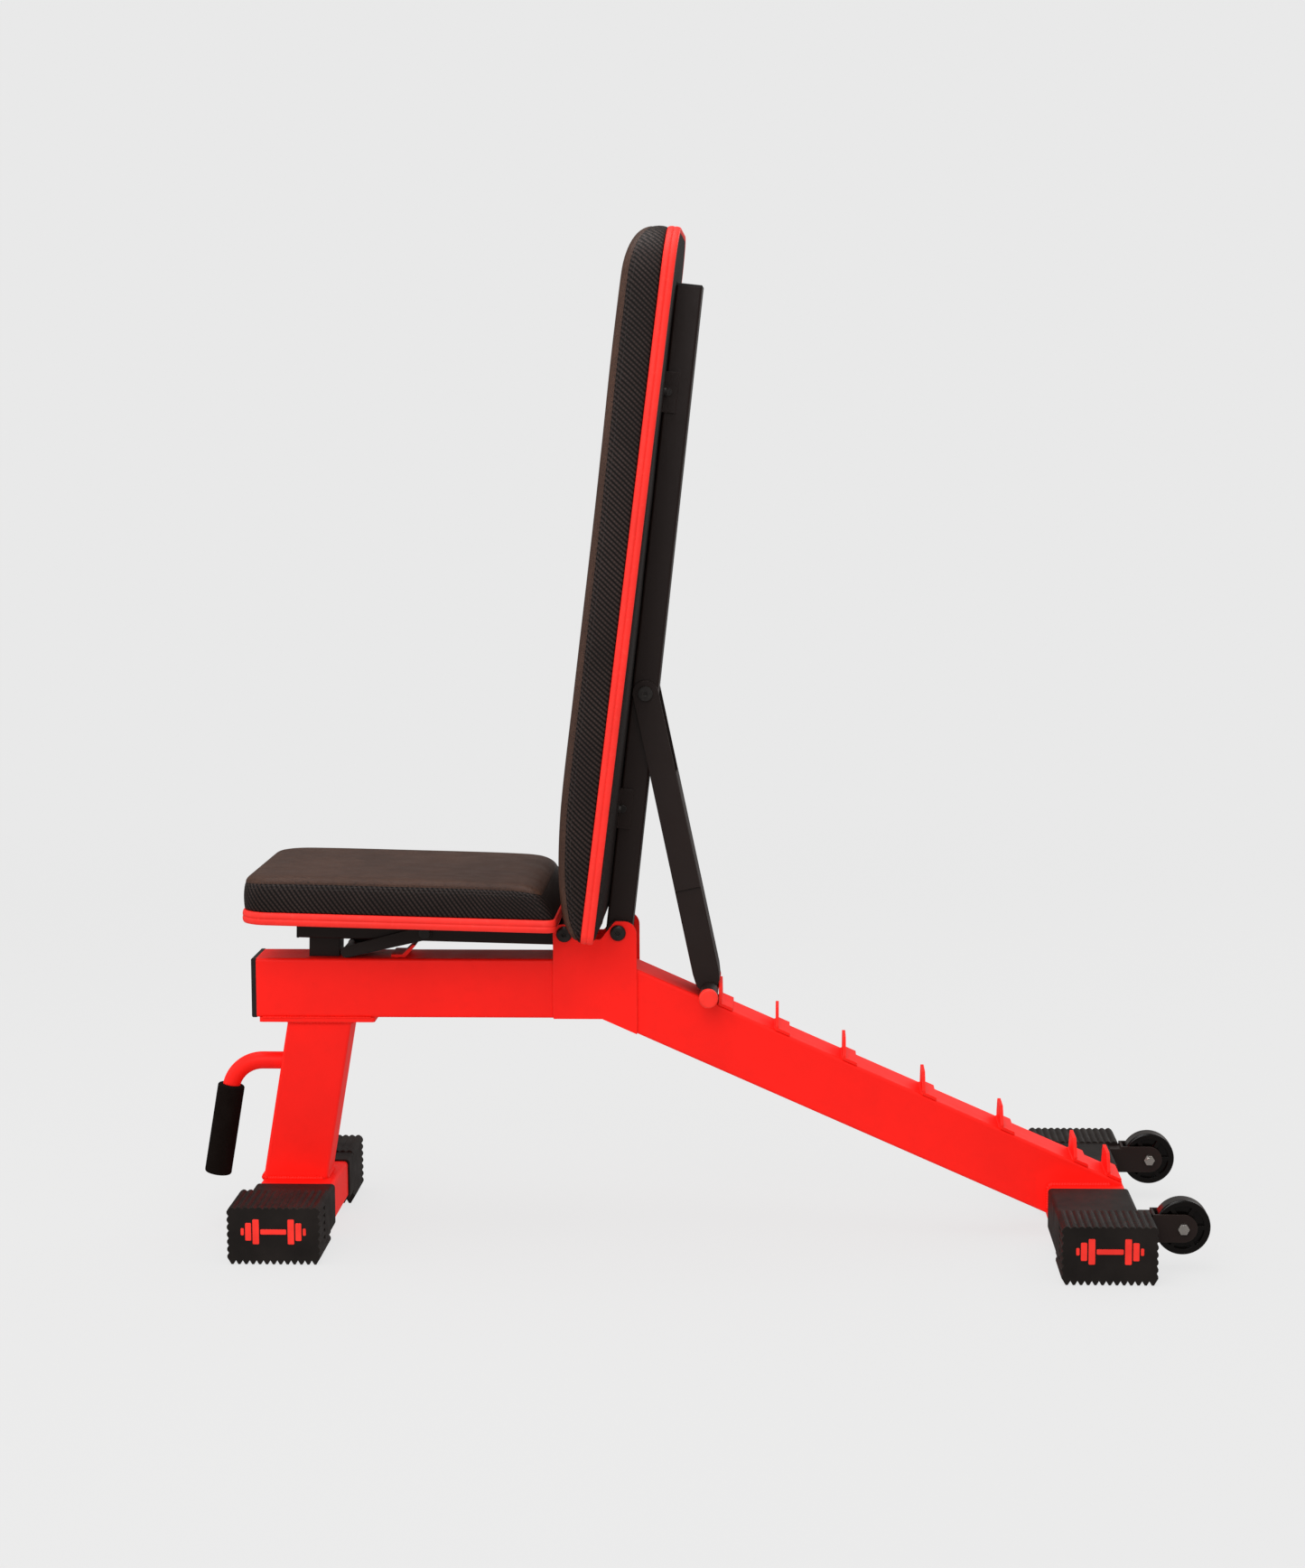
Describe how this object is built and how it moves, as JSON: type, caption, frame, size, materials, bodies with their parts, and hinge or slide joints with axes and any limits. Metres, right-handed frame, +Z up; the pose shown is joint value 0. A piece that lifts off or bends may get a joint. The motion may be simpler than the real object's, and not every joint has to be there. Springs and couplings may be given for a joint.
{
  "type": "adjustable weight bench",
  "caption": "Adjustable weight bench: padded seat and tilting backrest on a square-tube spine, rear support strut resting in a ladder of catches, rubber feet, wheels and carry handle.",
  "frame": {"origin": "on the floor, under the middle of the overall box", "axes": "+X to the rear (wheel end), +Y to the right-hand side of a user facing forward along -X, +Z up"},
  "size_m": [1.2528, 0.516, 1.2523],
  "materials": {
    "red_powder_coat": "saturated red powder coat, satin",
    "black_powder_coat": "black powder coat, satin",
    "black_bolt": "black oxide steel fasteners",
    "zinc_bolt": "bright zinc steel fasteners",
    "black_cap": "moulded black plastic caps",
    "red_cap": "moulded red plastic caps",
    "red_trim": "red flexible edge trim",
    "board": "black-faced plywood",
    "upholstery": "black vinyl cover on foam",
    "boot_rubber": "black moulded rubber",
    "foam_grip": "black foam tube",
    "wheel_plastic": "black glossy plastic",
    "bush_plastic": "nylon bush"
  },
  "bodies": {
    "frame": {"spine_front": "red_powder_coat", "spine_rear": "red_powder_coat", "spine_front_cap": "black_cap", "hinge_plate_left": "red_powder_coat", "hinge_plate_right": "red_powder_coat", "leg_mount_plate": "red_powder_coat", "front_leg": "red_powder_coat", "front_stabilizer": "red_powder_coat", "rear_stabilizer": "red_powder_coat", "boot_front_left": "boot_rubber", "boot_front_right": "boot_rubber", "boot_rear_left": "boot_rubber", "boot_rear_right": "boot_rubber", "ladder_catch_1": "red_powder_coat", "ladder_catch_2": "red_powder_coat", "ladder_catch_3": "red_powder_coat", "ladder_catch_4": "red_powder_coat", "ladder_catch_5": "red_powder_coat", "ladder_catch_6": "red_powder_coat", "ladder_catch_7": "red_powder_coat", "seat_catch": "red_powder_coat", "handle_tube": "red_powder_coat", "handle_grip": "foam_grip", "wheel_bracket_left": "black_powder_coat", "wheel_bracket_right": "black_powder_coat", "wheel_axle_bolts": "zinc_bolt", "wheel_axle_nuts": "zinc_bolt", "back_hinge_bolt": "black_bolt", "seat_hinge_bolt": "black_bolt", "hinge_nuts": "black_bolt"},
    "backrest": {"back_tube": "black_powder_coat", "back_tube_cap": "black_cap", "back_hinge_sleeve": "black_powder_coat", "back_bracket_lower": "black_powder_coat", "back_bracket_upper": "black_powder_coat", "back_pad_screws": "black_bolt", "back_board": "board", "back_trim": "red_trim", "back_pad": "upholstery", "strut_pivot_bolt": "black_bolt", "strut_pivot_nut": "black_bolt"},
    "strut": {"strut_tube": "black_powder_coat", "strut_fork_plates": "black_powder_coat", "strut_bar": "black_powder_coat", "strut_bar_caps": "red_cap"},
    "seat": {"seat_tube": "black_powder_coat", "seat_tube_cap": "black_cap", "seat_hinge_sleeve": "black_powder_coat", "seat_post": "black_powder_coat", "seat_brackets": "black_powder_coat", "seat_screws": "black_bolt", "seat_board": "board", "seat_trim": "red_trim", "seat_pad": "upholstery", "seat_strut_pin": "black_bolt"},
    "seat_strut": {"seat_strut": "black_powder_coat"},
    "wheel_left": {"wheel_left": "wheel_plastic", "wheel_bush_left": "bush_plastic"},
    "wheel_right": {"wheel_right": "wheel_plastic", "wheel_bush_right": "bush_plastic"}
  },
  "joints": [
    {"name": "backrest_tilt", "type": "hinge", "parent": "frame", "child": "backrest", "pos_m": [-0.0939, 0, 0.3848], "axis": [0, 1, 0], "range_deg": [0, 81.25]},
    {"name": "strut_swing", "type": "hinge", "parent": "backrest", "child": "strut", "pos_m": [-0.05834, 0, 0.6837], "axis": [0, 1, 0], "range_deg": [-111.9, 0]},
    {"name": "seat_tilt", "type": "hinge", "parent": "frame", "child": "seat", "pos_m": [-0.161, 0, 0.383], "axis": [0, 1, 0], "range_deg": [0, 15]},
    {"name": "seat_strut_swing", "type": "hinge", "parent": "seat", "child": "seat_strut", "pos_m": [-0.33707, 0, 0.38261], "axis": [0, 1, 0], "range_deg": [-43, 0]},
    {"name": "wheel_left_spin", "type": "hinge", "parent": "frame", "child": "wheel_left", "pos_m": [0.5926, -0.1754, 0.052], "axis": [0, 1, 0], "continuous": true},
    {"name": "wheel_right_spin", "type": "hinge", "parent": "frame", "child": "wheel_right", "pos_m": [0.5926, 0.1754, 0.052], "axis": [0, 1, 0], "continuous": true}
  ],
  "couplings": [
    {"joint": "strut_swing", "follows": "backrest_tilt", "ratio": -1.377},
    {"joint": "seat_strut_swing", "follows": "seat_tilt", "ratio": -2.86}
  ]
}
